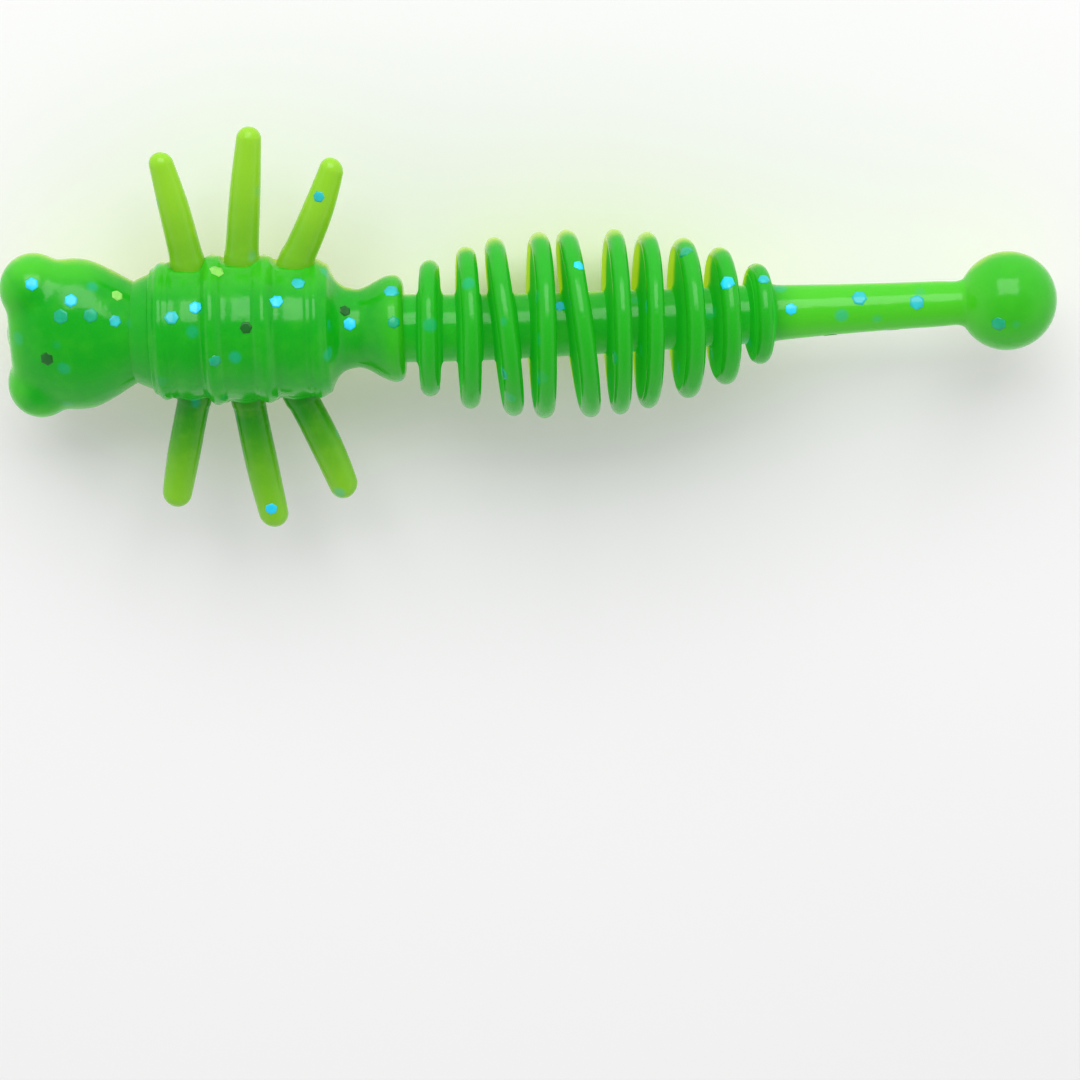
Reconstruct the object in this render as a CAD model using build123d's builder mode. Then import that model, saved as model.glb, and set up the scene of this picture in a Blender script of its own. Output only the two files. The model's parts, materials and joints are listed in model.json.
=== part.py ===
from math import asin, cos, radians, sin, sqrt
import os

from build123d import *

os.makedirs("parts", exist_ok=True)

# Soft plastic nymph lure, moulded in two colours of plastisol: a green back and
# a chartreuse belly that meet on the parting plane z = 0. The tip of the snout
# is the origin, the tail runs towards +X, the right side is +Y and the back +Z.
# The one moulding is cut into the sections that bend against each other. Each
# cut is a knuckle: a round cap on one section in a round cup on the next.

# Knuckles
knuckle_ratio = 1.15  # radius of a cap over the radius of its rim
clearance = 0.05  # gap between a cap and its cup

# Head: distance behind the snout, width and thickness of each cross-section
head_stations = [(0.62, 5.2, 2.6), (1.5, 7.0, 4.0), (3.3, 7.2, 5.2), (5.0, 6.3, 5.2)]
eye_span = 8.0
eye_radius = 1.55
snout_radius = 1.25
head_length = 6.45

# Neck
neck_length = 0.5
neck_front_diameter = 4.9
neck_rear_diameter = 5.1
neck_root_length = 0.44  # stretch of neck that belongs to the thorax

# Thorax: four ribs with three bands between them, then a shoulder to the waist
rib_diameters = [6.55, 7.2, 7.05, 6.6]
band_diameters = [6.2, 6.6, 6.25]
rib_width = 0.76
rib_pitch = 2.41
rib_step = 0.25  # how far the first and last rib stand above their outer foot
shoulder_length = 1.55
shoulder_hollow = (0.3, 0.32)  # place of its deepest bend, as shares of length and drop
waist_diameter = 3.72

# Collar
collar_length = 2.2
collar_diameter = 5.05
collar_lip = 0.35

# Abdomen: thin rings on a core
ring_pitch = 1.731
ring_thickness = 0.98
largest_ring_diameter = 8.94
largest_ring_place = 3.8  # rings behind the first one
ring_fall_front = 5.53  # how fast the diameters fall, in rings
ring_fall_rear = 6.15
collar_to_ring = 0.68
core_front_diameter = 3.2
core_rear_diameter = 2.72
# How far each rim leans towards the nose on its right side, and how far it is
# dished towards the tail, as shares of the gap between two rings
ring_leans = [-0.14, -0.12, 0.35, -0.15, 0.52, -0.09, -0.25, -0.13, -0.08, -0.08]
ring_dishes = [0, 0.13, 0.08, 0.13, 0.16, 0.29, -0.07, 0.04, 0.03, 0]

# Tail
ring_to_tail = 1.02  # last ring to the tail's first knuckle
tail_base_length = 4.1
tail_shank_length = 4.2
tail_neck_length = 0.35
tail_middle_diameter = 2.34
tail_end_diameter = 2.0
ball_diameter = 4.64

# Legs: lean is towards the tail, in degrees, on the right and on the left side
leg_names = ["front", "middle", "rear"]
leg_leans = {"right": [-9.5, 6.5, 25], "left": [-14, 7.5, 23]}
leg_lengths = [5.8, 6.7, 5.65]
leg_root_diameter = 1.6
leg_knee_diameter = 1.42
leg_tip_diameter = 1.14
leg_hinge_rise = 0.4  # hinge centre above the band
leg_knee_place = 0.48  # knee along the leg, as a share of its length

# Stations along the body, each from the one before
neck_rear = head_length + neck_length
first_rib = neck_rear + neck_root_length + rib_width / 2
last_rib = first_rib + (len(rib_diameters) - 1) * rib_pitch
waist = last_rib + rib_width / 2 + shoulder_length
collar_rear = waist + collar_length
first_ring = collar_rear + collar_to_ring + ring_thickness / 2
ring_count = len(ring_leans)
ring_gap = ring_pitch - ring_thickness
last_ring = first_ring + (ring_count - 1) * ring_pitch
tail_base_front = last_ring + ring_to_tail
tail_shank_front = tail_base_front + tail_base_length
tail_ball_front = tail_shank_front + tail_shank_length
sides = {"right": 1, "left": -1}
shots = {"back": 1, "belly": -1}  # the two colours meet on the parting plane


def ring_place(index):
    return first_ring + index * ring_pitch


def ring_diameter(index):
    offset = index - largest_ring_place
    fall = ring_fall_front if offset < 0 else ring_fall_rear
    return largest_ring_diameter * sqrt(1 - (offset / fall) ** 2)


def core_radius(x):
    share = (x - collar_rear) / (tail_base_front - collar_rear)
    return (core_front_diameter + share * (core_rear_diameter - core_front_diameter)) / 2


def ring_front(index):
    # Midway between two rings, or between the collar and the first ring.
    if index == 0:
        return collar_rear + collar_to_ring / 2
    return ring_place(index) - ring_pitch / 2


def knuckle_center(rim_x, rim, facing=1):
    return rim_x - facing * rim * sqrt(knuckle_ratio**2 - 1)


def knuckle_cap(rim_x, rim, facing=1):
    # The round end of a section, from its rim in to the axis.
    center = knuckle_center(rim_x, rim, facing)
    ball = knuckle_ratio * rim
    half_angle = asin(1 / knuckle_ratio) / 2
    middle = (center + facing * ball * cos(half_angle), ball * sin(half_angle))
    return ThreePointArc((rim_x, rim), middle, (center + facing * ball, 0))


def cut_cup(rim_x, rim, facing=1):
    with Locations((knuckle_center(rim_x, rim, facing), 0, 0)):
        Sphere(knuckle_ratio * rim + clearance, mode=Mode.SUBTRACT)


def half_turn(axis, shot):
    # A profile drawn on the right of the axis makes the half above or below it.
    revolve(axis=axis, revolution_arc=180 * shots[shot])


def write_part(part, name):
    part.label = name
    export_step(part, f"parts/{name}.step")


def make_head(shot):
    rim = neck_front_diameter / 2
    with BuildPart() as head:
        for x, width, thickness in head_stations:
            with BuildSketch(Plane.YZ.offset(x)):
                Ellipse(width / 2, thickness / 2)
        with BuildSketch(Plane.YZ.offset(head_length)):
            Circle(rim)
        loft()
        with Locations((snout_radius, 0, 0)):
            Sphere(snout_radius)
        eye_offset = eye_span / 2 - eye_radius
        with Locations((eye_radius, eye_offset, 0), (eye_radius, -eye_offset, 0)):
            Sphere(eye_radius)
        cut_cup(head_length, rim, facing=-1)
        split(bisect_by=Plane.XY, keep=Keep.TOP if shots[shot] > 0 else Keep.BOTTOM)
    write_part(head.part, f"head_{shot}")


def make_neck(shot):
    front = neck_front_diameter / 2
    rear = neck_rear_diameter / 2
    with BuildPart() as neck:
        with BuildSketch():
            with BuildLine():
                cap = knuckle_cap(head_length, front, facing=-1)
                Polyline(cap @ 0, (neck_rear, rear), (neck_rear, 0), cap @ 1)
            make_face()
        half_turn(Axis.X, shot)
        cut_cup(neck_rear, rear, facing=-1)
    write_part(neck.part, f"neck_{shot}")


def band_edges(index):
    # Radii at the foot of a rib, on its nose side and on its tail side.
    front = band_diameters[index - 1] / 2 if index > 0 else rib_diameters[0] / 2 - rib_step
    last = len(rib_diameters) - 1
    rear = band_diameters[index] / 2 if index < last else rib_diameters[last] / 2 - rib_step
    return front, rear


def make_thorax(shot):
    with BuildPart() as thorax:
        with BuildSketch():
            with BuildLine():
                front_cap = knuckle_cap(neck_rear, neck_rear_diameter / 2, facing=-1)
                corner = (first_rib - rib_width / 2, neck_rear_diameter / 2)
                Line(front_cap @ 0, corner)
                for index, diameter in enumerate(rib_diameters):
                    x = first_rib + index * rib_pitch
                    front, rear = band_edges(index)
                    foot = (x - rib_width / 2, front)
                    Line(corner, foot)
                    corner = (x + rib_width / 2, rear)
                    ThreePointArc(foot, (x, diameter / 2), corner)
                rear_cap = knuckle_cap(waist, waist_diameter / 2)
                hollow_x = corner[0] + shoulder_hollow[0] * shoulder_length
                drop = corner[1] - waist_diameter / 2
                hollow_radius = waist_diameter / 2 + shoulder_hollow[1] * drop
                ThreePointArc(corner, (hollow_x, hollow_radius), rear_cap @ 0)
                Line(rear_cap @ 1, front_cap @ 1)
            make_face()
        half_turn(Axis.X, shot)
        for side in sides:
            for index in range(len(leg_names)):
                with Locations(leg_root(side, index)):
                    Sphere(leg_root_diameter / 2 + clearance, mode=Mode.SUBTRACT)
    write_part(thorax.part, f"thorax_{shot}")


def make_collar(shot):
    rear = collar_diameter / 2
    with BuildPart() as collar:
        with BuildSketch():
            with BuildLine():
                cap = knuckle_cap(ring_front(0), core_radius(ring_front(0)))
                lip_front = (collar_rear - collar_lip, rear)
                lip_rear = (collar_rear, rear - collar_lip)
                turn = collar_lip * (1 - cos(radians(45)))
                Polyline((waist, 0), (waist, waist_diameter / 2), lip_front)
                ThreePointArc(lip_front, (collar_rear - turn, rear - turn), lip_rear)
                Polyline(lip_rear, (collar_rear, core_radius(collar_rear)), cap @ 0)
                Line(cap @ 1, (waist, 0))
            make_face()
        half_turn(Axis.X, shot)
        cut_cup(waist, waist_diameter / 2)
    write_part(collar.part, f"collar_{shot}")


def disc_plane(index):
    # A ring stands across the core, leaning a little about the Z axis.
    lean = asin(ring_leans[index] * ring_gap / (ring_diameter(index) / 2))
    return Plane(origin=(ring_place(index), 0, 0), x_dir=(cos(lean), sin(lean), 0))


def make_ring(index, shot):
    front = ring_front(index)
    rear = ring_front(index + 1) if index < ring_count - 1 else tail_base_front
    plane = disc_plane(index)
    half = ring_thickness / 2
    dish = ring_dishes[index] * ring_gap
    radius = ring_diameter(index) / 2
    with BuildPart() as ring:
        with BuildSketch():
            with BuildLine():
                cap = knuckle_cap(rear, core_radius(rear))
                Polyline(cap @ 1, (front, 0), (front, core_radius(front)), cap @ 0)
            make_face()
        half_turn(Axis.X, shot)
        with BuildSketch(plane):
            with BuildLine():
                rim_front = (dish - half, radius - half)
                rim_rear = (dish + half, radius - half)
                Polyline(rim_front, (-half, 0), (half, 0), rim_rear)
                ThreePointArc(rim_front, (dish, radius), rim_rear)
            make_face()
        half_turn(Axis(plane.origin, plane.x_dir), shot)
        cut_cup(front, core_radius(front))
    write_part(ring.part, f"ring_{index + 1}_{shot}")


def make_stem(name, front, front_radius, rear, rear_radius, shot):
    with BuildPart() as stem:
        with BuildSketch():
            with BuildLine():
                cap = knuckle_cap(rear, rear_radius)
                Polyline(cap @ 1, (front, 0), (front, front_radius), cap @ 0)
            make_face()
        half_turn(Axis.X, shot)
        cut_cup(front, front_radius)
    write_part(stem.part, f"{name}_{shot}")


def make_ball(shot):
    radius = ball_diameter / 2
    neck = tail_end_diameter / 2
    center = tail_ball_front + tail_neck_length + sqrt(radius**2 - neck**2)
    with BuildPart() as ball:
        with BuildSketch():
            with BuildLine():
                ball_front = (tail_ball_front + tail_neck_length, neck)
                tail_end = (center + radius, 0)
                Polyline(ball_front, (tail_ball_front, neck), (tail_ball_front, 0), tail_end)
                ThreePointArc(ball_front, (center, radius), tail_end)
            make_face()
        half_turn(Axis.X, shot)
        cut_cup(tail_ball_front, neck)
    write_part(ball.part, f"tail_ball_{shot}")


def leg_root(side, index):
    band = band_diameters[index] / 2
    x = first_rib + (index + 0.5) * rib_pitch
    return (x, sides[side] * (band + leg_hinge_rise), 0)


def leg_plane(side, index):
    # Its local X runs along the leg, from the hinge centre.
    lean = radians(leg_leans[side][index])
    direction = (sin(lean), sides[side] * cos(lean), 0)
    return Plane(origin=leg_root(side, index), x_dir=direction)


def knee_place(index):
    return leg_knee_place * leg_lengths[index]


def make_leg(side, index):
    plane = leg_plane(side, index)
    axis = Axis(plane.origin, plane.x_dir)
    root = leg_root_diameter / 2
    knee = leg_knee_diameter / 2
    tip = leg_tip_diameter / 2
    knee_x = knee_place(index)
    end = leg_lengths[index] - leg_hinge_rise
    name = f"leg_{leg_names[index]}_{side}"
    with BuildPart() as upper:
        with BuildSketch(plane):
            with BuildLine():
                cap = knuckle_cap(knee_x, knee)
                turn = root * cos(radians(45))
                ThreePointArc((-root, 0), (-turn, turn), (0, root))
                Line((0, root), cap @ 0)
                Line(cap @ 1, (-root, 0))
            make_face()
        revolve(axis=axis)
    write_part(upper.part, f"{name}_root")
    with BuildPart() as lower:
        with BuildSketch(plane):
            with BuildLine():
                shoulder = (end - tip, tip)
                turn = tip * cos(radians(45))
                Polyline(shoulder, (knee_x, knee), (knee_x, 0), (end, 0))
                ThreePointArc(shoulder, (end - tip + turn, turn), (end, 0))
            make_face()
        revolve(axis=axis)
        with BuildSketch(plane):
            with BuildLine():
                center = knuckle_center(knee_x, knee)
                ball = knuckle_ratio * knee + clearance
                ThreePointArc((center - ball, 0), (center, ball), (center + ball, 0))
                Line((center + ball, 0), (center - ball, 0))
            make_face()
        revolve(axis=axis, mode=Mode.SUBTRACT)
    write_part(lower.part, f"{name}_tip")


tail_start = core_rear_diameter / 2
tail_middle = tail_middle_diameter / 2
tail_end = tail_end_diameter / 2
for colour in shots:
    make_head(colour)
    make_neck(colour)
    make_thorax(colour)
    make_collar(colour)
    for ring_index in range(ring_count):
        make_ring(ring_index, colour)
    make_stem("tail_base", tail_base_front, tail_start, tail_shank_front, tail_middle, colour)
    make_stem("tail_shank", tail_shank_front, tail_middle, tail_ball_front, tail_end, colour)
    make_ball(colour)
for leg_side in sides:
    for leg_index in range(len(leg_names)):
        make_leg(leg_side, leg_index)
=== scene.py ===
import json
import math

import bpy
import numpy as np
from mathutils import Matrix, Vector


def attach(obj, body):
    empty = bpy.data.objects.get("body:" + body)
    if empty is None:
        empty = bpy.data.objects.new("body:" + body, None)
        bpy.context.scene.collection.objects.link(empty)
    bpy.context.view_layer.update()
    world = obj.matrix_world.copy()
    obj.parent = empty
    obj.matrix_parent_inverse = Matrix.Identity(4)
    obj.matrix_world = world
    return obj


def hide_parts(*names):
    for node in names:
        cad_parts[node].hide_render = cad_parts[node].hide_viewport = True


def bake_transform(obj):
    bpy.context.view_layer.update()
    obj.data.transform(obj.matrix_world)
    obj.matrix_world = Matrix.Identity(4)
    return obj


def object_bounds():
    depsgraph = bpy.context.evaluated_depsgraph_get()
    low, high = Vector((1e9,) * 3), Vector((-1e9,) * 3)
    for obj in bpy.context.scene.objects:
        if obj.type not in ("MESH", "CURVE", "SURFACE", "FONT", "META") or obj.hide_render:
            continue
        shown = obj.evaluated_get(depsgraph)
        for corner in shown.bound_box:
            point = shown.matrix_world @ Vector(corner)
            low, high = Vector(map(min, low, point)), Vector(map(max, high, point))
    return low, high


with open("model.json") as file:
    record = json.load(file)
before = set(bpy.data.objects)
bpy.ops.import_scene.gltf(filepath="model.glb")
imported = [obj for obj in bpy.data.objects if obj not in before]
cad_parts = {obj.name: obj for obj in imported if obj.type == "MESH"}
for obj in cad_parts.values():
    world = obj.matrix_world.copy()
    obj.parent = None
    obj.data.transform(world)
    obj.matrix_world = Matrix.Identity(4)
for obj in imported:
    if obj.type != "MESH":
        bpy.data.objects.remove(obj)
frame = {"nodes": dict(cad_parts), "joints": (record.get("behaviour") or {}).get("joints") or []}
cadLow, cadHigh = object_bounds()
mm = 0.001  # shapes are worked out in millimetres and scaled once, in addPiece
hinges = {j["name"]: np.array(j["pos_m"]) / mm for j in frame["joints"]}
sides = {"right": 1, "left": -1}
legNames = ["front", "middle", "rear"]
ringNumbers = range(1, 11)


def shots(*names):  # each section's two colours are two CAD nodes
    return [f"{name}_{shot}" for name in names for shot in ("back", "belly")]


def nodePoints(*names):  # the CAD surface points of these nodes, in millimetres
    found = [[v.co for v in frame["nodes"][n].data.vertices] for n in names]
    return np.vstack([np.array(points) for points in found]) / mm


def smoothPath(points, step=0.1):  # Catmull-Rom curve through the points
    pts = [np.array(p, float) for p in points]
    pts = [2 * pts[0] - pts[1]] + pts + [2 * pts[-1] - pts[-2]]
    path = []
    for a, b, c, d in zip(pts, pts[1:], pts[2:], pts[3:]):
        count = max(3, math.ceil(np.linalg.norm(c - b) / step))
        for t in np.arange(count) / count:
            path.append(0.5 * (2 * b + (c - a) * t + (2 * a - 5 * b + 4 * c - d) * t**2
                               + (3 * b - a - 3 * c + d) * t**3))
    return path + [pts[-2]]


def band(start, k, around):  # the face at k between a ring of points and the next ring
    n = (k + 1) % around
    return start + k, start + around + k, start + around + n, start + n


def lathe(path, around=96):  # a closed skin round the X axis, from (x, radius) pairs
    smallest = 0.005
    turn = np.linspace(0, 2 * math.pi, around, endpoint=False)
    circle = np.stack([np.zeros(around), np.sin(turn), np.cos(turn)], 1)
    points = [np.array([[path[0][0], 0, 0]])]
    points += [np.array([x, 0, 0]) + max(r, smallest) * circle for x, r in path]
    points.append(np.array([[path[-1][0], 0, 0]]))
    end = 1 + len(path) * around
    faces = []
    for k in range(around):
        n = (k + 1) % around
        faces.append((0, 1 + k, 1 + n))
        faces.append((end, end - around + n, end - around + k))
        faces += [band(start, k, around) for start in range(1, end - around, around)]
    return np.vstack(points), faces


sag = {"depth": 0.43, "middle": 24.0, "reach": (9.0, 16.0)}  # the soft body lies a little bowed


def addPiece(name, points, faces, material, thinAndLit=None, gloss=None, glow=None, bowed=False):
    if not bowed:
        points = points.copy()
        along = points[:, 0] - sag["middle"]
        points[:, 1] -= sag["depth"] * np.exp(-(along / np.where(along < 0, *sag["reach"])) ** 2)
    mesh = bpy.data.meshes.new(name)
    mesh.from_pydata((points * mm).tolist(), [], faces)
    mesh.polygons.foreach_set("use_smooth", [True] * len(mesh.polygons))
    rest = mesh.attributes.new("restPlace", "FLOAT_VECTOR", "POINT")
    rest.data.foreach_set("vector", np.asarray(points, np.float32).ravel())
    for key, values, usual in (("thinness", thinAndLit, 0), ("gloss", gloss, 1), ("glow", glow, 0)):
        filled = np.full(len(points), usual) if values is None else values
        layer = mesh.attributes.new(key, "FLOAT", "POINT")
        layer.data.foreach_set("value", np.asarray(filled, np.float32))
    mesh.materials.append(material)
    piece = bpy.data.objects.new(name, mesh)
    bpy.context.scene.collection.objects.link(piece)
    return piece


def smoothstep(value, low, high):
    t = np.clip((value - low) / (high - low), 0, 1)
    return t * t * (3 - 2 * t)


plasticLook = {
    "backColor": (0.003, 0.30, 0.006),
    "bellyColor": (0.31, 0.45, 0.004),
    "paleBackColor": (0.055, 0.45, 0.012),
    "paleBellyColor": (0.29, 0.49, 0.010),
    "meetingHeight": -0.55,  # the green wraps a little past the parting plane
    "meetingBlur": 0.65,
    "meetingSlope": 0.1,  # and further down on the left side
    "roughness": (0.75, 0.17),  # in the gaps between rings, and elsewhere
    "ior": 1.48,
    "specular": 0.3,
    "subsurface": 0.3,
    "scatter": (0.5, 1.0, 0.25),
    "scatterDepth": 0.4,
    # fluorescence, and painted light that lifts the shade: the plastic glows with its own colour
    "fluorescenceAndPaintedFill": 0.25,
    "gathering": 2.3,  # painted light: how much brighter the emission is deep between two rings and on the cores
    "wander": 1.2,  # unevenness of the meeting line
    "cloudiness": 0.14,
    "deepFlakeColor": (0.006, 0.36, 0.30),
    "deepFlakeScale": 0.62,
    "deepFlakeShare": 0.4,  # the rest of the cells stay empty
    "ripple": (0.6, 0.04),  # strength and depth of the surface's unevenness
}
legLook = dict(plasticLook, backColor=(0.010, 0.22, 0.004), paleBackColor=(0.22, 0.50, 0.018),
               paleBellyColor=(0.25, 0.50, 0.025), meetingHeight=-0.3, meetingSlope=0.05)
ringLook = dict(plasticLook, paleBackColor=(0.015, 0.35, 0.01), meetingHeight=-0.65, meetingSlope=0.1)


def newMaterial(name):
    material = bpy.data.materials.new(name)
    material.use_nodes = True
    tree = material.node_tree
    return material, tree.nodes, tree.links, tree.nodes["Principled BSDF"]


def makePlastic(name, look):  # glossy and translucent: green above, chartreuse below
    material, nodes, links, shader = newMaterial(name)

    def add(kind, **values):
        node = nodes.new(kind)
        for key, value in values.items():
            setattr(node, key, value)
        return node

    def mapRange(source, low, high, toLow=0.0, toHigh=1.0):
        node = add("ShaderNodeMapRange", interpolation_type="SMOOTHSTEP")
        links.new(source, node.inputs["Value"])
        for key, value in zip(("From Min", "From Max", "To Min", "To Max"), (low, high, toLow, toHigh)):
            node.inputs[key].default_value = value
        return node.outputs["Result"]

    def mix(factor, a, b):
        node = add("ShaderNodeMix", data_type="RGBA")
        for key, value in ((0, factor), (6, a), (7, b)):
            if hasattr(value, "is_output"):
                links.new(value, node.inputs[key])
            else:
                node.inputs[key].default_value = value if key == 0 else (*value, 1)
        return node.outputs[2]

    def noise(scale, detail=2.0):
        node = add("ShaderNodeTexNoise")
        links.new(place, node.inputs["Vector"])
        node.inputs["Scale"].default_value = scale
        node.inputs["Detail"].default_value = detail
        return node.outputs["Fac"]

    def math2(operation, a, b):
        node = add("ShaderNodeMath", operation=operation)
        for key, value in enumerate((a, b)):
            if hasattr(value, "is_output"):
                links.new(value, node.inputs[key])
            else:
                node.inputs[key].default_value = value
        return node.outputs[0]

    place = add("ShaderNodeAttribute", attribute_name="restPlace").outputs["Vector"]
    thinAndLit = add("ShaderNodeAttribute", attribute_name="thinness").outputs["Fac"]
    split = add("ShaderNodeSeparateXYZ")
    links.new(place, split.inputs[0])
    wander = math2("MULTIPLY", math2("SUBTRACT", noise(0.7), 0.5), look["wander"])
    sloped = math2("MULTIPLY", split.outputs["Y"], -look["meetingSlope"])
    height = math2("ADD", math2("ADD", split.outputs["Z"], sloped), wander)
    meeting, blur = look["meetingHeight"], look["meetingBlur"]
    back = mapRange(height, meeting - blur, meeting + blur)
    thick = mix(back, look["bellyColor"], look["backColor"])
    light = mix(back, look["paleBellyColor"], look["paleBackColor"])
    color = mix(thinAndLit, thick, light)
    cloudy = mapRange(noise(1.1, 3.0), 0.4, 0.7, 0.0, look["cloudiness"])
    color = mix(cloudy, color, light)
    cells = add("ShaderNodeTexVoronoi", feature="F1")  # flakes seen dimly through the plastic
    links.new(place, cells.inputs["Vector"])
    cells.inputs["Scale"].default_value = look["deepFlakeScale"]
    pick = add("ShaderNodeSeparateColor")
    links.new(cells.outputs["Color"], pick.inputs[0])
    near = mapRange(cells.outputs["Distance"], 0.13, 0.27, 1.0, 0.0)
    empty = 1 - look["deepFlakeShare"]
    chosen = mapRange(pick.outputs[0], empty, empty + 0.02)
    deep = math2("MULTIPLY", near, chosen)
    deep = math2("MULTIPLY", deep, math2("ADD", math2("MULTIPLY", pick.outputs[1], 0.4), 0.05))
    color = mix(deep, color, look["deepFlakeColor"])
    links.new(color, shader.inputs["Base Color"])

    gapLightShare = add("ShaderNodeAttribute", attribute_name="glow").outputs["Fac"]
    gapLitColor = add("ShaderNodeVectorMath", operation="SCALE")  # painted light: the emission is made brighter between the rings and on the cores, lifting their shade
    links.new(color, gapLitColor.inputs[0])
    links.new(mapRange(gapLightShare, 0.0, 1.0, 1.0, look["gathering"]), gapLitColor.inputs["Scale"])
    links.new(gapLitColor.outputs[0], shader.inputs["Emission Color"])

    shiny = add("ShaderNodeAttribute", attribute_name="gloss").outputs["Fac"]
    links.new(mapRange(shiny, 0.0, 1.0, *look["roughness"]), shader.inputs["Roughness"])
    # the plastic glows with its own colour: partly fluorescence, partly painted light lifting the shade
    shader.inputs["Emission Strength"].default_value = look["fluorescenceAndPaintedFill"]
    shader.inputs["IOR"].default_value = look["ior"]
    shader.inputs["Specular IOR Level"].default_value = look["specular"]
    shader.inputs["Subsurface Weight"].default_value = look["subsurface"]
    shader.inputs["Subsurface Radius"].default_value = look["scatter"]
    shader.inputs["Subsurface Scale"].default_value = look["scatterDepth"] * mm
    bump = add("ShaderNodeBump")
    bump.inputs["Strength"].default_value = look["ripple"][0]
    bump.inputs["Distance"].default_value = look["ripple"][1] * mm
    ripple = math2("ADD", noise(1.6, 2.0), math2("MULTIPLY", noise(9.0, 3.0), 0.08))
    links.new(ripple, bump.inputs["Height"])
    links.new(bump.outputs["Normal"], shader.inputs["Normal"])
    return material


flakeLook = {
    "cyan": (0.015, 0.54, 0.80),
    "blue": (0.02, 0.43, 0.45),
    "teal": (0.006, 0.34, 0.16),
    "dark": (0.004, 0.10, 0.008),
    "clear": (0.22, 0.58, 0.10),
}


def makeFlakeFilm(name, color):
    material, nodes, links, shader = newMaterial(name)
    place = nodes.new("ShaderNodeAttribute")
    place.attribute_name = "restPlace"
    grain = nodes.new("ShaderNodeTexNoise")
    grain.inputs["Scale"].default_value = 2.5
    links.new(place.outputs["Vector"], grain.inputs["Vector"])
    tint = nodes.new("ShaderNodeMix")
    tint.data_type = "RGBA"
    links.new(grain.outputs["Fac"], tint.inputs[0])
    tint.inputs[6].default_value = (*[c * 0.7 for c in color], 1)
    tint.inputs[7].default_value = (*[min(1, c * 1.25) for c in color], 1)
    links.new(tint.outputs[2], shader.inputs["Base Color"])
    shader.inputs["Roughness"].default_value = 0.2
    shader.inputs["Specular IOR Level"].default_value = 0.35
    # painted light: the flakes glow a little with their own colour
    links.new(tint.outputs[2], shader.inputs["Emission Color"])
    shader.inputs["Emission Strength"].default_value = 0.2
    return material


bodyPlastic = makePlastic("body_plastisol", plasticLook)
legPlastic = makePlastic("leg_plastisol", legLook)
ringPlastic = makePlastic("ring_plastisol", ringLook)
flakeFilms = {name: makeFlakeFilm(f"flake_{name}", color) for name, color in flakeLook.items()}
flakeNames = list(flakeFilms)
print("materials made")


glitter = {
    "across": 0.6,
    "lift": 0.014,  # above the skin
    "farthestDrop": 0.3,  # a corner past the edge of a piece stays where it is
    "hidden": (110, 290),  # degrees, the sides where the flakes are scattered
    "kinds": ["cyan", "blue", "teal", "cyan", "dark", "blue", "teal"],
    "tries": 400,
    "seed": 41,
}
facets = 12  # points round a flake: six corners and the middles of its sides


def skinSpot(piece, x, around, y=0):  # degrees from the back towards the right side
    a = math.radians(around)
    out = Vector((0, math.sin(a), math.cos(a)))
    outside = 20
    hit, place, normal, _ = piece.ray_cast((Vector((x, y, 0)) + out * outside) * mm, -out)
    return (np.array(place) / mm, np.array(normal)) if hit else None


def hexFlake(piece, centre, normal, turn, across):  # its corners and middle follow the skin
    side = np.cross(normal, (0.31, 0.52, 0.79))
    side /= np.linalg.norm(side)
    other = np.cross(normal, side)
    points = [centre]
    for reach in (0.4, 0.7, 1):
        for k in range(facets):
            a = turn + k * math.pi / 6
            r = reach * across / math.sqrt(3) * (1 if k % 2 == 0 else math.cos(math.pi / 6))
            points.append(centre + r * (math.cos(a) * side + math.sin(a) * other))
    laid = []
    for point in points:
        hit, place, found, _ = piece.ray_cast(Vector(point + normal * 0.5) * mm, Vector(-normal))
        if not hit or (place / mm - Vector(point)).length > glitter["farthestDrop"]:
            place, found = Vector(point) * mm, Vector(normal)
        laid.append(np.array(place) / mm + np.array(found) * glitter["lift"])
    rim = 1 + 2 * facets
    laid += [point - normal * 2 * glitter["lift"] for point in laid[rim:]]
    faces = []
    for k in range(facets):
        faces += [(0, 1 + k, 1 + (k + 1) % facets), band(1, k, facets), band(1 + facets, k, facets)]
    return laid, faces + [band(rim, k, facets) for k in range(facets)]


def addFlakes(piece, spots, scattered=0, window=None):  # spots: x, degrees as above, kind
    draw = np.random.RandomState(glitter["seed"] + sum(map(ord, piece.name)))
    found = [(skinSpot(piece, x, around, *y), kind) for x, around, kind, *y in spots]
    tries = 0
    while window and scattered and tries < glitter["tries"]:
        tries += 1
        around = draw.uniform(*glitter["hidden"])
        spot = skinSpot(piece, draw.uniform(*window), around)
        kind = glitter["kinds"][draw.randint(len(glitter["kinds"]))]
        if spot is not None:
            found.append((spot, kind))
            scattered -= 1
    points, faces, kinds = [], [], []
    for spot, kind in found:
        if spot is None:
            continue
        across = glitter["across"] * draw.uniform(0.8, 1.1)
        more, flakeFaces = hexFlake(piece, *spot, draw.uniform(0, math.pi), across)
        faces += [tuple(i + len(points) for i in face) for face in flakeFaces]
        kinds += [flakeNames.index(kind)] * len(flakeFaces)
        points += more
    if not points:
        return None
    flakes = addPiece(f"glitter_{piece.name}", np.array(points), faces, flakeFilms["cyan"], bowed=True)
    for name in flakeNames[1:]:
        flakes.data.materials.append(flakeFilms[name])
    smooth = [k % (4 * facets) < 3 * facets for k in range(len(faces))]  # all but the rim's edge
    flakes.data.polygons.foreach_set("use_smooth", smooth)
    flakes.data.polygons.foreach_set("material_index", kinds)
    return flakes


def rideBoth(piece, flakes, body):
    for part in (piece, flakes):
        if part is not None:
            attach(part, body)


def blendBoth(piece, flakes):  # bakes each part's placing into its points
    for part in (piece, flakes):
        if part is not None:
            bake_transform(part)


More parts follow.
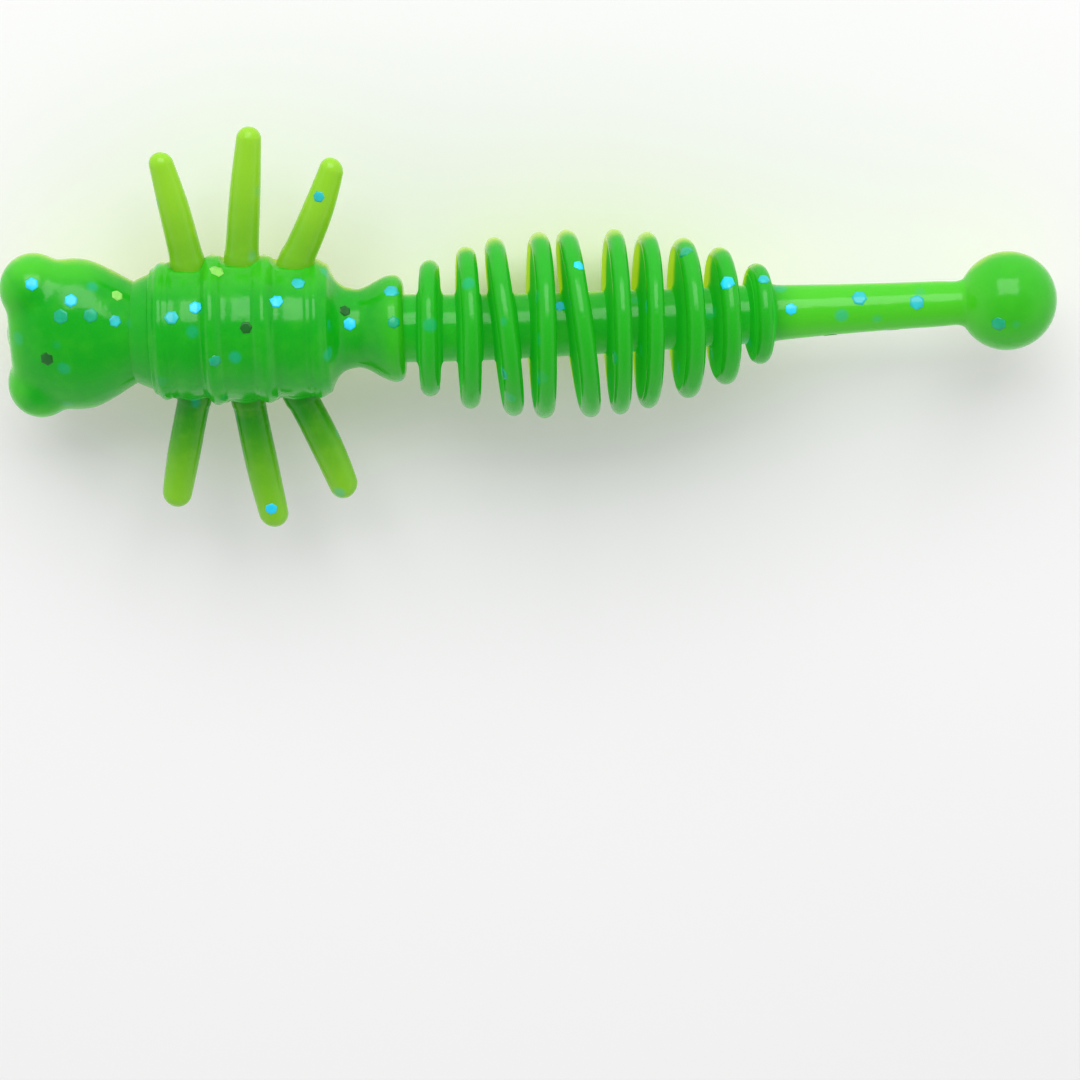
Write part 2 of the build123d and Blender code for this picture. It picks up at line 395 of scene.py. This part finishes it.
head = {
    "stations": [  # distance behind the snout, half width, half thickness
        (0.45, 2.0, 0.7), (0.62, 2.75, 1.3), (1.1, 3.2, 1.85), (1.8, 3.45, 2.25),
        (2.6, 3.6, 2.5), (3.5, 3.7, 2.66), (4.3, 3.6, 2.7), (5.1, 3.22, 2.62),
        (5.8, 2.78, 2.5), (6.3, 2.47, 2.38), (6.6, 2.3, 2.25), (7.0, 2.2, 2.15)],
    "eyes": (1.74, 2.37, 0.1),
    "eyeRadii": (1.62, 1.66, 1.75),
    "snout": (1.16, 0.1, 0.0),
    "snoutRadii": (0.9, 1.15, 0.95),
    "around": 72,
    "voxel": 0.11,
    "smoothing": 44,
    "paleness": 0.8,  # of the lobes and of the edges
    "flakes": [(1.9, 63, "cyan"), (3.7, 50, "cyan"), (5.7, 32, "blue"), (3.2, 37, "teal"),
               (4.6, 37, "teal"), (2.4, -7, "dark"), (5.8, 60, "clear")],
}


def ellipsoid(centre, radii, around=48):
    turn = np.linspace(0, math.pi, 25)
    path = [(-math.cos(t), math.sin(t)) for t in turn]
    points, faces = lathe(path, around)
    return points * np.array(radii) + np.array(centre), faces


def joinShapes(shapes):
    points, faces = [], []
    for more, moreFaces in shapes:
        base = sum(len(p) for p in points)
        faces += [tuple(i + base for i in face) for face in moreFaces]
        points.append(more)
    return np.vstack(points), faces


def grownTogether(shapes, voxel, smoothing):  # one skin over them all, its creases softened
    points, faces = joinShapes(shapes)
    mesh = bpy.data.meshes.new("rough")
    mesh.from_pydata(points.tolist(), [], faces)
    rough = bpy.data.objects.new("rough", mesh)
    bpy.context.scene.collection.objects.link(rough)
    remesh = rough.modifiers.new("remesh", "REMESH")
    remesh.mode = "VOXEL"
    remesh.voxel_size = voxel
    soften = rough.modifiers.new("soften", "SMOOTH")
    soften.factor = 0.5
    soften.iterations = smoothing
    graph = bpy.context.evaluated_depsgraph_get()
    made = bpy.data.meshes.new_from_object(rough.evaluated_get(graph))
    points = np.array([v.co for v in made.vertices])
    faces = [tuple(p.vertices) for p in made.polygons]
    bpy.data.objects.remove(rough)
    bpy.data.meshes.remove(made)
    return points, faces


def makeHead():
    path, around = smoothPath(head["stations"], 0.12), head["around"]
    points, faces = lathe([(x, 1) for x, _, _ in path], around)
    scale = np.ones((len(points), 3))
    for row, (_, width, thickness) in enumerate(path):
        scale[1 + row * around:1 + (row + 1) * around] = (1, width, thickness)
    shapes = [(points * scale, faces), ellipsoid(head["snout"], head["snoutRadii"])]
    x, y, z = head["eyes"]
    for side in sides.values():
        for level in (z, -z):
            shapes.append(ellipsoid((x, side * y, level), head["eyeRadii"]))
    points, faces = grownTogether(shapes, head["voxel"], head["smoothing"])
    lobes = smoothstep(-points[:, 0], -1.6, -0.2) * head["paleness"]
    edge = smoothstep(np.abs(points[:, 1]), 2.6, 3.9) * head["paleness"]
    piece = addPiece("head_skin", points, faces, bodyPlastic, np.maximum(lobes, edge))
    flakes = addFlakes(piece, head["flakes"], 5, (1.5, 6.0))
    blendBoth(piece, flakes)
    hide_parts(*shots("head"))


makeHead()
print("head made")


neck = {"path": [(5.9, 2.1), (6.25, 2.34), (6.5, 2.46), (6.9, 2.64), (7.35, 2.8), (7.7, 2.75)]}


def makeNeck():
    path = smoothPath(neck["path"])
    points, faces = lathe([(path[0][0], 0)] + path + [(path[-1][0], 0)])
    piece = addPiece("neck_skin", points, faces, bodyPlastic)
    blendBoth(piece, None)
    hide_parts(*shots("neck"))


makeNeck()


thorax = {
    "ribRadii": [3.26, 3.57, 3.52, 3.3],
    "footRadii": [2.86, 3.14, 3.32, 3.18, 3.0],  # in front of, between and behind the ribs
    "ribHalfWidth": 0.4,
    "barrel": 0.09,
    "waistPath": [(15.72, 2.66), (15.95, 2.28), (16.3, 2.0), (16.9, 1.86), (17.35, 1.98),
                  (17.9, 2.28), (18.35, 2.48), (18.75, 2.52), (19.02, 2.32), (19.13, 1.95),
                  (19.1, 1.45)],
    "socketHeight": 0.13,  # the rounded foot round each leg
    "socketRadius": 0.92,
    "socketWidth": 0.17,
    "flakes": [(8.4, 31, "blue"), (9.5, 39, "cyan"), (13.3, 42, "cyan"), (14.3, 60, "blue"),
               (16.6, 20, "cyan"), (18.6, 61, "blue"), (10.35, -5, "teal"), (11.85, 20, "dark"),
               (16.4, 40, "dark"), (10.5, 72, "clear"), (18.7, 20, "teal")],
}


def ribPath():
    front = hinges["leg_front_right_flap"][0]
    pitch = hinges["leg_middle_right_flap"][0] - front
    half = thorax["ribHalfWidth"]
    points = [(front - pitch / 2 - half - 0.1, 2.2)]
    for index, top in enumerate(thorax["ribRadii"]):
        x = front + (index - 0.5) * pitch
        before, after = thorax["footRadii"][index:index + 2]
        points += [(x - half - 0.18, before), (x - half + 0.04, before + 0.45 * (top - before)),
                   (x - half + 0.2, top - 0.06), (x, top), (x + half - 0.2, top - 0.06),
                   (x + half - 0.04, after + 0.45 * (top - after)), (x + half + 0.18, after)]
        if index < 3:
            points.append((x + pitch / 2, thorax["footRadii"][index + 1] + thorax["barrel"]))
    return points


def makeThorax():
    path = smoothPath(ribPath() + thorax["waistPath"], 0.08)
    points, faces = lathe(path, 168)
    radius = np.hypot(points[:, 1], points[:, 2])
    for side in sides:
        for name in legNames:
            root = hinges[f"leg_{name}_{side}_flap"]
            off = np.hypot(points[:, 0] - root[0], points[:, 2])
            bead = np.exp(-((off - thorax["socketRadius"]) / thorax["socketWidth"]) ** 2)
            inside = smoothstep(thorax["socketRadius"] - off, 0, 0.3) * 0.5
            near = (points[:, 1] * root[1] > 0) * (radius > 2.7)
            raised = np.maximum(bead, inside) * near * thorax["socketHeight"]
            points[:, 1:] *= 1 + raised[:, None] / 3.3
    flare = smoothstep(points[:, 0], 17.6, 18.8) * 0.35
    # painted light: the right flank, which faces the lamp, is painted paler
    top = smoothstep(points[:, 1], 2.2, 3.6) * 0.5
    piece = addPiece("thorax_skin", points, faces, bodyPlastic, np.maximum(flare, top))
    flakes = addFlakes(piece, thorax["flakes"], 12, (8.0, 18.8))
    blendBoth(piece, flakes)
    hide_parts(*shots("thorax", "collar"))


makeThorax()
print("thorax made")


leg = {
    "rootRadius": 0.81,
    "buried": 1.0,
    "thickness": 0.92,  # of its width, across the parting plane
    "tipRadius": {"right": 0.57, "left": 0.7},
    "curve": {"right": [0.10, -0.05, 0.22], "left": [0.06, 0.1, -0.2]},
    "bendLength": 0.7,
    "moved": {"right": [0.08, 0.26, 0.44], "left": [-0.06, 0.12, 0.24]},  # along the body
    "longer": {"right": 0.0, "left": 0.22},
    "flakes": {"rear_right": (0.55, 35, "blue"), "middle_left": (0.84, 5, "cyan"),
               "front_right": (0.35, 150, "cyan"), "rear_left": (0.5, 190, "teal")},
    "usualFlake": (0.6, 160, "teal"),  # share of the leg's length, degrees round, kind
}


def makeLeg(side, index):
    name = f"leg_{legNames[index]}_{side}"
    root = hinges[f"{name}_flap"]
    knee = hinges[f"{name}_knee"]
    along = (knee - root) / np.linalg.norm(knee - root)
    reach = max((nodePoints(f"{name}_tip") - root) @ along) + leg["longer"][side]
    across = np.cross((0, 0, 1), along)
    tip = leg["tipRadius"][side]
    start = -leg["buried"]
    wide = leg["rootRadius"]
    body = [(start, 0.6), (start + 0.3, 0.8), (0, wide + 0.02), (0.5, wide - 0.03),
            (reach * 0.5, 0.5 * (wide + tip) + 0.03), (reach - 1.3 * tip, tip + 0.02)]
    body += [(reach - tip * (1 - math.sin(t)), tip * math.cos(t)) for t in (0.35, 0.8, 1.2, 1.5)]
    path = smoothPath(body, 0.14)
    points, faces = lathe(path, 40)
    share = points[:, 0] / reach
    curve = leg["curve"][side][index]
    bow = curve * (np.clip(share, 0, 1) ** 2 - 0.5 * np.clip(share, 0, 1)) * 2
    moved = np.array([leg["moved"][side][index], 0, 0])
    placed = (root + moved + points[:, :1] * along + (points[:, 1:2] + bow[:, None]) * across
              + points[:, 2:] * leg["thickness"] * np.array([0, 0, 1.0]))
    if side == "left":  # painted shade: the left legs, away from the lamp, are painted greener, and the right ones paler
        pale = 0.75 * smoothstep(share, 0, 1)
    else:
        pale = 0.6 + 0.4 * smoothstep(share, 0, 0.8)
    piece = addPiece(f"{name}_skin", placed, faces, legPlastic, pale)
    usual = leg["usualFlake"]
    far, around, kind = leg["flakes"].get(f"{legNames[index]}_{side}", usual)
    where = root + moved + far * reach * along + far * (far - 0.5) * 2 * curve * across
    flakes = addFlakes(piece, [(where[0], around, kind, where[1])])
    blendBoth(piece, flakes)
    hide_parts(f"{name}_root", f"{name}_tip")


for legSide in sides:
    for legIndex in range(len(legNames)):
        makeLeg(legSide, legIndex)
print("legs made")


ring = {
    "thickness": [0.99, 0.98, 1.0, 0.97, 0.98, 0.9, 0.88, 1.0, 0.99, 0.96],
    "hubExtra": 0.08,
    "fillet": 0.17,
    "flex": [0, 0.2, 0.31, 0.26, 0.36, 0.22, 0.26, 0.34, 0.34, 0.26],  # of the belly edge, to the nose
    "waviness": 0.02,
    "outOfRound": 0.005,
    "seed": 12,
    "flakes": {3: [(23.7, -20, "teal")], 4: [(24.7, -30, "teal")], 5: [(27.45, 55, "cyan")],
               6: [(28.9, -15, "teal")], 8: [(32.4, 75, "teal")], 9: [(34.3, 45, "cyan")],
               10: [(36.1, 60, "blue")]},
}
core = {
    "radii": (1.6, 1.38),  # at the first ring and at the last
    "start": 18.7,  # inside the collar
    "overlap": (0.32, -0.05),  # ends behind the middle of the ring in front, and of its own
    "glow": 0.9,
    "flakes": {5: [(26.5, 44, "cyan")]},
}


def rimFit(number):  # a CAD rim's centre, lean as mm of x for each mm of y, and radius
    points = nodePoints(*shots(f"ring_{number}"))
    radius = np.hypot(points[:, 1], points[:, 2])
    rim = points[radius > radius.max() - 0.05]
    slope, x = np.polyfit(rim[:, 1], rim[:, 0], 1)
    return x, slope, radius.max()


rims = {number: rimFit(number) for number in ringNumbers}


def coreRadius(x):  # the core thins evenly from the collar to the tail
    front, rear = rims[1][0], rims[10][0]
    first, last = core["radii"]
    return first + (x - front) / (rear - front) * (last - first)


def makeRing(number):
    draw = np.random.RandomState(ring["seed"] + number)
    x, slope, radius = rims[number]
    half, fillet = ring["thickness"][number - 1] / 2, ring["fillet"]
    hub = half + ring["hubExtra"] / 2
    foot = coreRadius(x)
    side = [(hub + fillet, foot - 0.1), (hub + fillet * 0.5, foot + 0.03),
            (hub + fillet * 0.12, foot + 0.16), (hub - 0.02, foot + 0.42),
            ((half + hub) / 2 - 0.02, (foot + radius) / 2), (half - 0.04, radius - half)]
    rim = [(half * math.cos(t) - 0.03 * math.cos(t), radius - half + half * math.sin(t))
           for t in np.linspace(0.3, math.pi - 0.3, 8)]
    path = [(-u, r) for u, r in side + rim] + [(u, r) for u, r in reversed(side)]
    points, faces = lathe(smoothPath(path, 0.1), 120)
    out = np.clip((np.hypot(points[:, 1], points[:, 2]) - foot) / (radius - foot), 0, 1)
    turn = np.arctan2(points[:, 1], points[:, 2])
    wave = ring["waviness"] * draw.uniform(0.5, 1) * np.cos(2 * turn + draw.uniform(0, 6.3))
    wave += 0.5 * ring["waviness"] * np.cos(3 * turn + draw.uniform(0, 6.3))
    points[:, 0] += wave * out**2
    oval = ring["outOfRound"] * np.cos(2 * turn + draw.uniform(0, 6.3)) * out**2
    points[:, 1:] *= 1 + oval[:, None]
    points[:, 0] += points[:, 1] * slope + points[:, 2] * ring["flex"][number - 1] / radius + x
    thinAndLit, gloss = smoothstep(out, 0.3, 1) * 0.6, smoothstep(out, 0.74, 0.88)
    # painted light: the faces deep between the rings get brighter emission
    glow = 1 - smoothstep(out, 0.7, 0.9)
    return addPiece(f"ring_{number}_skin", points, faces, ringPlastic, thinAndLit, gloss, glow)


def makeRings():
    for number in ringNumbers:
        piece = makeRing(number)
        spots, middle = ring["flakes"].get(number, []), rims[number][0]
        flakes = addFlakes(piece, spots, 2, (middle - 0.3, middle + 0.3))
        rideBoth(piece, flakes, f"ring_{number}")
        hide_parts(*shots(f"ring_{number}"))


def makeCores():  # each rides the ring behind it, with its front end inside the ring in front
    front = core["start"]
    inFront, inOwn = core["overlap"]
    for number in ringNumbers:
        middle = rims[number][0]
        path = [(x, coreRadius(x)) for x in np.linspace(front, middle + inOwn, 14)]
        points, faces = lathe(path, 72)
        # painted light: the cores get brighter emission, lifting the shade between the rings
        glow = np.full(len(points), core["glow"])
        piece = addPiece(f"core_{number}_skin", points, faces, bodyPlastic, glow=glow)
        rideBoth(piece, addFlakes(piece, core["flakes"].get(number, [])), f"ring_{number}")
        front = middle + inFront


makeRings()
makeCores()
print("rings made")


tail = {
    "stem": [(35.75, 1.3), (36.1, 1.38), (36.45, 1.42), (36.7, 1.34), (37.1, 1.3), (38.5, 1.235),
             (40.0, 1.175), (42.0, 1.12), (43.2, 1.095), (44.3, 1.06)],
    "end": [(42.8, 1.02), (43.2, 1.075), (43.6, 1.087), (44.4, 1.075), (45.1, 1.04), (45.4, 1.06),
            (45.62, 1.15)],
    "ballCentre": 47.68,
    "ballRadius": 2.34,
    "ballMouth": 1.28,  # radius where the stem runs into the ball
    "stemFlakes": [(37.35, 17, "cyan"), (40.6, 39, "blue"), (43.3, 22, "blue")],
    "endFlakes": [(47.0, -10, "teal")],
}


def makeTail():
    path = smoothPath(tail["stem"])
    points, faces = lathe(path)
    pale = smoothstep(points[:, 0], 36, 38)
    stem = addPiece("tail_stem_skin", points, faces, bodyPlastic, pale)
    flakes = addFlakes(stem, tail["stemFlakes"], 3, (37.5, 43.0))
    blendBoth(stem, flakes)
    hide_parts(*shots("tail_base", "tail_shank"))

    radius, centre = tail["ballRadius"], tail["ballCentre"]
    begin = math.asin(tail["ballMouth"] / radius)
    turns = np.linspace(begin, math.pi - 0.05, 22)
    ball = [(centre - radius * math.cos(t), radius * math.sin(t)) for t in turns]
    points, faces = lathe(smoothPath(tail["end"] + ball))
    pale = 1 - 0.5 * smoothstep(points[:, 0], 45, 47)
    end = addPiece("tail_end_skin", points, faces, bodyPlastic, pale)
    flakes = addFlakes(end, tail["endFlakes"], 4, (46.0, 49.5))
    blendBoth(end, flakes)
    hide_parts(*shots("tail_ball"))


makeTail()
print("tail made")


stage = {
    "floorShade": 0.93,
    "floorGrain": 0.01,
    "floorSize": 3.0,
    "floorGap": 0.06,  # below the lowest CAD point, as the rings' skins reach a little lower
    "lampDistance": 300.0,
    "lampSize": (0.27, 0.21),
    "lampAround": 54,  # degrees from straight above towards the right side
    "lampPower": 0.70,
    "roomLow": 1.0,  # light from the walls
    "roomHigh": 0.4,  # and from the ceiling
    "fade": (0.45, 0.85),  # upward part of the direction, where one turns into the other
}
view = {
    "place": (25.15, 61.71, 169.425),
    "around": 23.37,  # degrees from straight down onto the back, towards the right side
    "roll": 2.11,
    "lens": 126.7,
}


def makeFloor():
    size = stage["floorSize"]
    z = cadLow.z / mm - stage["floorGap"]
    corners = np.array([(-1, -1, 0), (1, -1, 0), (1, 1, 0), (-1, 1, 0)]) * size / 2 / mm + (0, 0, z)
    material, nodes, links, shader = newMaterial("pale_floor")
    grain = nodes.new("ShaderNodeTexNoise")
    grain.inputs["Scale"].default_value = 40
    ramp = nodes.new("ShaderNodeMapRange")
    ramp.inputs["To Min"].default_value = stage["floorShade"] - stage["floorGrain"]
    ramp.inputs["To Max"].default_value = stage["floorShade"] + stage["floorGrain"]
    links.new(grain.outputs["Fac"], ramp.inputs["Value"])
    links.new(ramp.outputs["Result"], shader.inputs["Base Color"])
    shader.inputs["Roughness"].default_value = 0.9
    shader.inputs["Specular IOR Level"].default_value = 0.1
    floor = addPiece("floor", corners, [(0, 1, 2, 3)], material, bowed=True)


def makeRoom():
    world = bpy.data.worlds.new("studio")
    bpy.context.scene.world = world
    world.use_nodes = True
    tree = world.node_tree
    background = tree.nodes["Background"]
    background.inputs["Color"].default_value = (1, 1, 1, 1)
    way = tree.nodes.new("ShaderNodeTexCoord")
    part = tree.nodes.new("ShaderNodeSeparateXYZ")
    fade = tree.nodes.new("ShaderNodeMapRange")
    tree.links.new(way.outputs["Generated"], part.inputs[0])
    tree.links.new(part.outputs["Z"], fade.inputs["Value"])
    limits = {"From Min": stage["fade"][0], "From Max": stage["fade"][1],
              "To Min": stage["roomLow"], "To Max": stage["roomHigh"]}
    for key, value in limits.items():
        fade.inputs[key].default_value = value
    tree.links.new(fade.outputs["Result"], background.inputs["Strength"])


def makeLamp():
    lamp = bpy.data.lights.new("softbox", "AREA")
    lamp.shape = "RECTANGLE"
    lamp.size, lamp.size_y = stage["lampSize"]
    lamp.energy = stage["lampPower"]
    holder = bpy.data.objects.new("softbox", lamp)
    a = math.radians(stage["lampAround"])
    out = Vector((0, math.sin(a), math.cos(a)))
    holder.location = (Vector((25, 0, 0)) + out * stage["lampDistance"]) * mm
    holder.rotation_mode = "QUATERNION"
    holder.rotation_quaternion = (-out).to_track_quat("-Z", "Y")
    bpy.context.scene.collection.objects.link(holder)


def makeCamera():
    around, roll = math.radians(view["around"]), math.radians(view["roll"])
    behind = Vector((0, math.sin(around), math.cos(around)))
    level, upright = Vector((1, 0, 0)), Vector((0, math.cos(around), -math.sin(around)))
    rightward = level * math.cos(roll) - upright * math.sin(roll)
    upward = level * math.sin(roll) + upright * math.cos(roll)
    data = bpy.data.cameras.new("camera")
    data.sensor_width, data.lens = 36, view["lens"]
    data.clip_start, data.clip_end = 0.005, 10
    camera = bpy.data.objects.new("camera", data)
    camera.matrix_world = (Matrix((rightward, upward, behind)).transposed().to_4x4())
    camera.location = Vector(view["place"]) * mm
    bpy.context.scene.collection.objects.link(camera)
    bpy.context.scene.camera = camera


makeFloor()
makeRoom()
makeLamp()
makeCamera()
bpy.context.scene.view_settings.view_transform = "Standard"

print("stage made")
